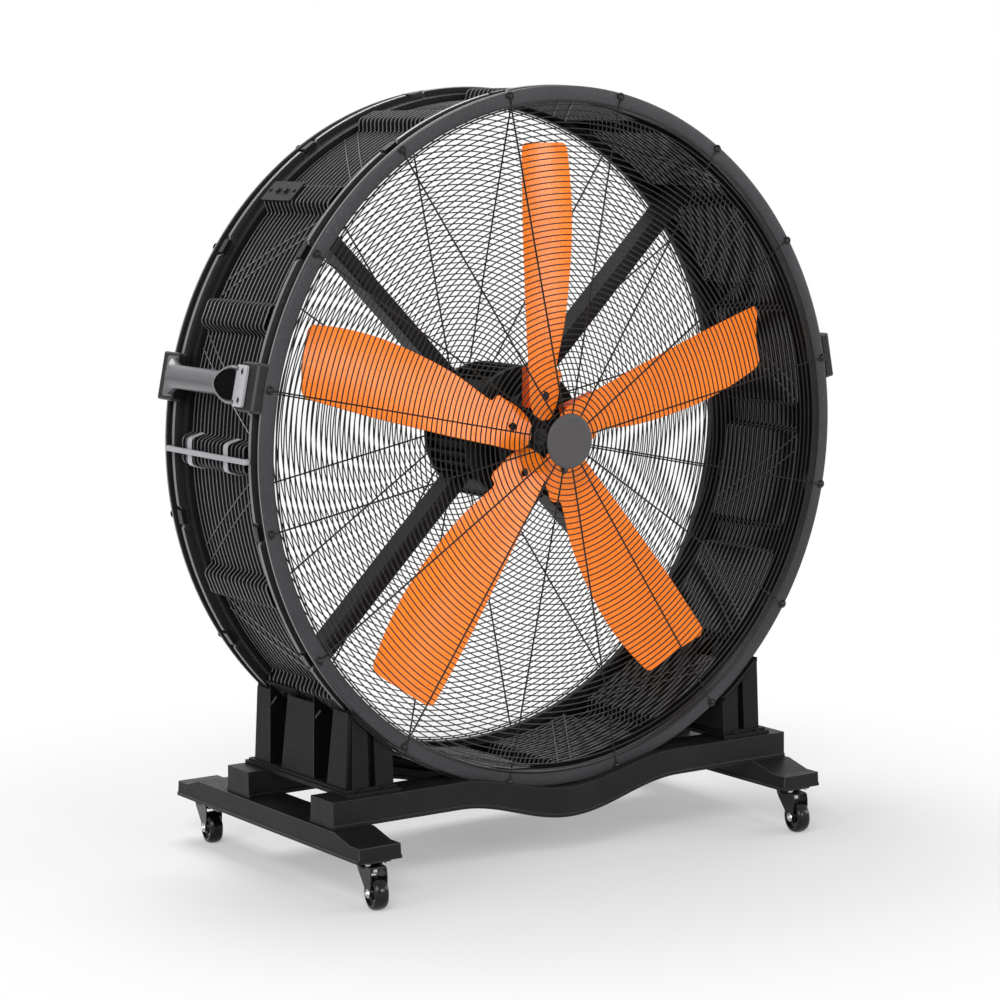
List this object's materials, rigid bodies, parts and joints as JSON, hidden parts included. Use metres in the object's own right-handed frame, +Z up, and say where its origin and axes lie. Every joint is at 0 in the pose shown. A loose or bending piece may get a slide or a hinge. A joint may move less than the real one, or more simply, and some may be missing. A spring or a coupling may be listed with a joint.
{
  "type": "drum fan",
  "caption": "Large drum fan on a wheeled base: ribbed drum wall between end rings, bladed impeller on a motor held by arms, side handles, wire guards.",
  "frame": {"origin": "on the floor, under the middle of the whole outline", "axes": "+Z up, +X to the right seen from the front, +Y to the back; the fan blows toward -Y"},
  "size_m": [1.7066, 0.8316, 1.779],
  "materials": {
    "ring_paint": "satin dark grey",
    "wire_paint": "satin black",
    "disc_plastic": "fine-grained dark grey",
    "motor_paint": "satin black",
    "motor_core": "laminated steel with windings",
    "bearing_steel": "ground steel",
    "arm_paint": "satin black",
    "blade_orange": "satin orange",
    "hub_black": "satin black",
    "zinc_plated": "bright zinc plating",
    "handle_grey": "satin grey",
    "bracket_black": "satin black",
    "saddle_black": "satin black",
    "pad_rubber": "matt black",
    "base_paint": "satin black",
    "fork_black": "satin black",
    "wheel_black": "semi-gloss black"
  },
  "bodies": {
    "body": {"front_ring": "ring_paint", "rear_ring": "ring_paint", "front_grille": "wire_paint", "rear_grille": "wire_paint", "side_wall_panel_1": "wire_paint", "side_wall_panel_2": "wire_paint", "side_wall_panel_3": "wire_paint", "side_wall_panel_4": "wire_paint", "hub_cover_disc": "disc_plastic", "motor_housing": "motor_paint", "motor_front_shield": "motor_paint", "motor_rear_shield": "motor_paint", "motor_stator": "motor_core", "front_bearing": "bearing_steel", "rear_bearing": "bearing_steel", "motor_arm_1": "arm_paint", "motor_arm_2": "arm_paint", "motor_arm_3": "arm_paint", "motor_arm_4": "arm_paint", "arm_end_plate_1": "arm_paint", "arm_end_plate_2": "arm_paint", "arm_end_plate_3": "arm_paint", "arm_end_plate_4": "arm_paint", "left_handle": "handle_grey", "right_handle": "handle_grey", "left_handle_front_bracket": "bracket_black", "left_handle_rear_bracket": "bracket_black", "right_handle_front_bracket": "bracket_black", "right_handle_rear_bracket": "bracket_black", "tie_rod": "handle_grey", "tie_rod_front_clip": "zinc_plated", "tie_rod_rear_clip": "zinc_plated", "left_saddle": "saddle_black", "right_saddle": "saddle_black", "left_saddle_pad": "pad_rubber", "right_saddle_pad": "pad_rubber", "front_cross_beam": "base_paint", "rear_cross_beam": "base_paint", "left_foot_beam": "base_paint", "right_foot_beam": "base_paint"},
    "impeller": {"motor_rotor": "bearing_steel", "hub_plate": "hub_black", "hub_centre_screw": "zinc_plated", "blade_1": "blade_orange", "blade_2": "blade_orange", "blade_3": "blade_orange", "blade_4": "blade_orange", "blade_5": "blade_orange"},
    "front_left_caster": {"caster_fork_1": "fork_black", "caster_axle_1": "zinc_plated"},
    "front_right_caster": {"caster_fork_2": "fork_black", "caster_axle_2": "zinc_plated"},
    "rear_left_caster": {"caster_fork_3": "fork_black", "caster_axle_3": "zinc_plated"},
    "rear_right_caster": {"caster_fork_4": "fork_black", "caster_axle_4": "zinc_plated"},
    "front_left_wheel": {"caster_wheel_1": "wheel_black"},
    "front_right_wheel": {"caster_wheel_2": "wheel_black"},
    "rear_left_wheel": {"caster_wheel_3": "wheel_black"},
    "rear_right_wheel": {"caster_wheel_4": "wheel_black"}
  },
  "joints": [
    {"name": "impeller_spin", "type": "hinge", "parent": "body", "child": "impeller", "pos_m": [0, -0.02617, 0.9675], "axis": [0, 1, 0], "continuous": true},
    {"name": "front_left_swivel", "type": "hinge", "parent": "body", "child": "front_left_caster", "pos_m": [-0.598, -0.34417, 0.09], "axis": [0, 0, 1], "continuous": true},
    {"name": "front_right_swivel", "type": "hinge", "parent": "body", "child": "front_right_caster", "pos_m": [0.598, -0.34417, 0.09], "axis": [0, 0, 1], "continuous": true},
    {"name": "rear_left_swivel", "type": "hinge", "parent": "body", "child": "rear_left_caster", "pos_m": [-0.598, 0.37383, 0.09], "axis": [0, 0, 1], "continuous": true},
    {"name": "rear_right_swivel", "type": "hinge", "parent": "body", "child": "rear_right_caster", "pos_m": [0.598, 0.37383, 0.09], "axis": [0, 0, 1], "continuous": true},
    {"name": "front_left_wheel_spin", "type": "hinge", "parent": "front_left_caster", "child": "front_left_wheel", "pos_m": [-0.60373, -0.37769, 0.0375], "axis": [0.9857, -0.1685, 0], "continuous": true},
    {"name": "front_right_wheel_spin", "type": "hinge", "parent": "front_right_caster", "child": "front_right_wheel", "pos_m": [0.59227, -0.37769, 0.0375], "axis": [0.9857, -0.1685, 0], "continuous": true},
    {"name": "rear_left_wheel_spin", "type": "hinge", "parent": "rear_left_caster", "child": "rear_left_wheel", "pos_m": [-0.60373, 0.34031, 0.0375], "axis": [0.9857, -0.1685, 0], "continuous": true},
    {"name": "rear_right_wheel_spin", "type": "hinge", "parent": "rear_right_caster", "child": "rear_right_wheel", "pos_m": [0.59227, 0.34031, 0.0375], "axis": [0.9857, -0.1685, 0], "continuous": true}
  ]
}
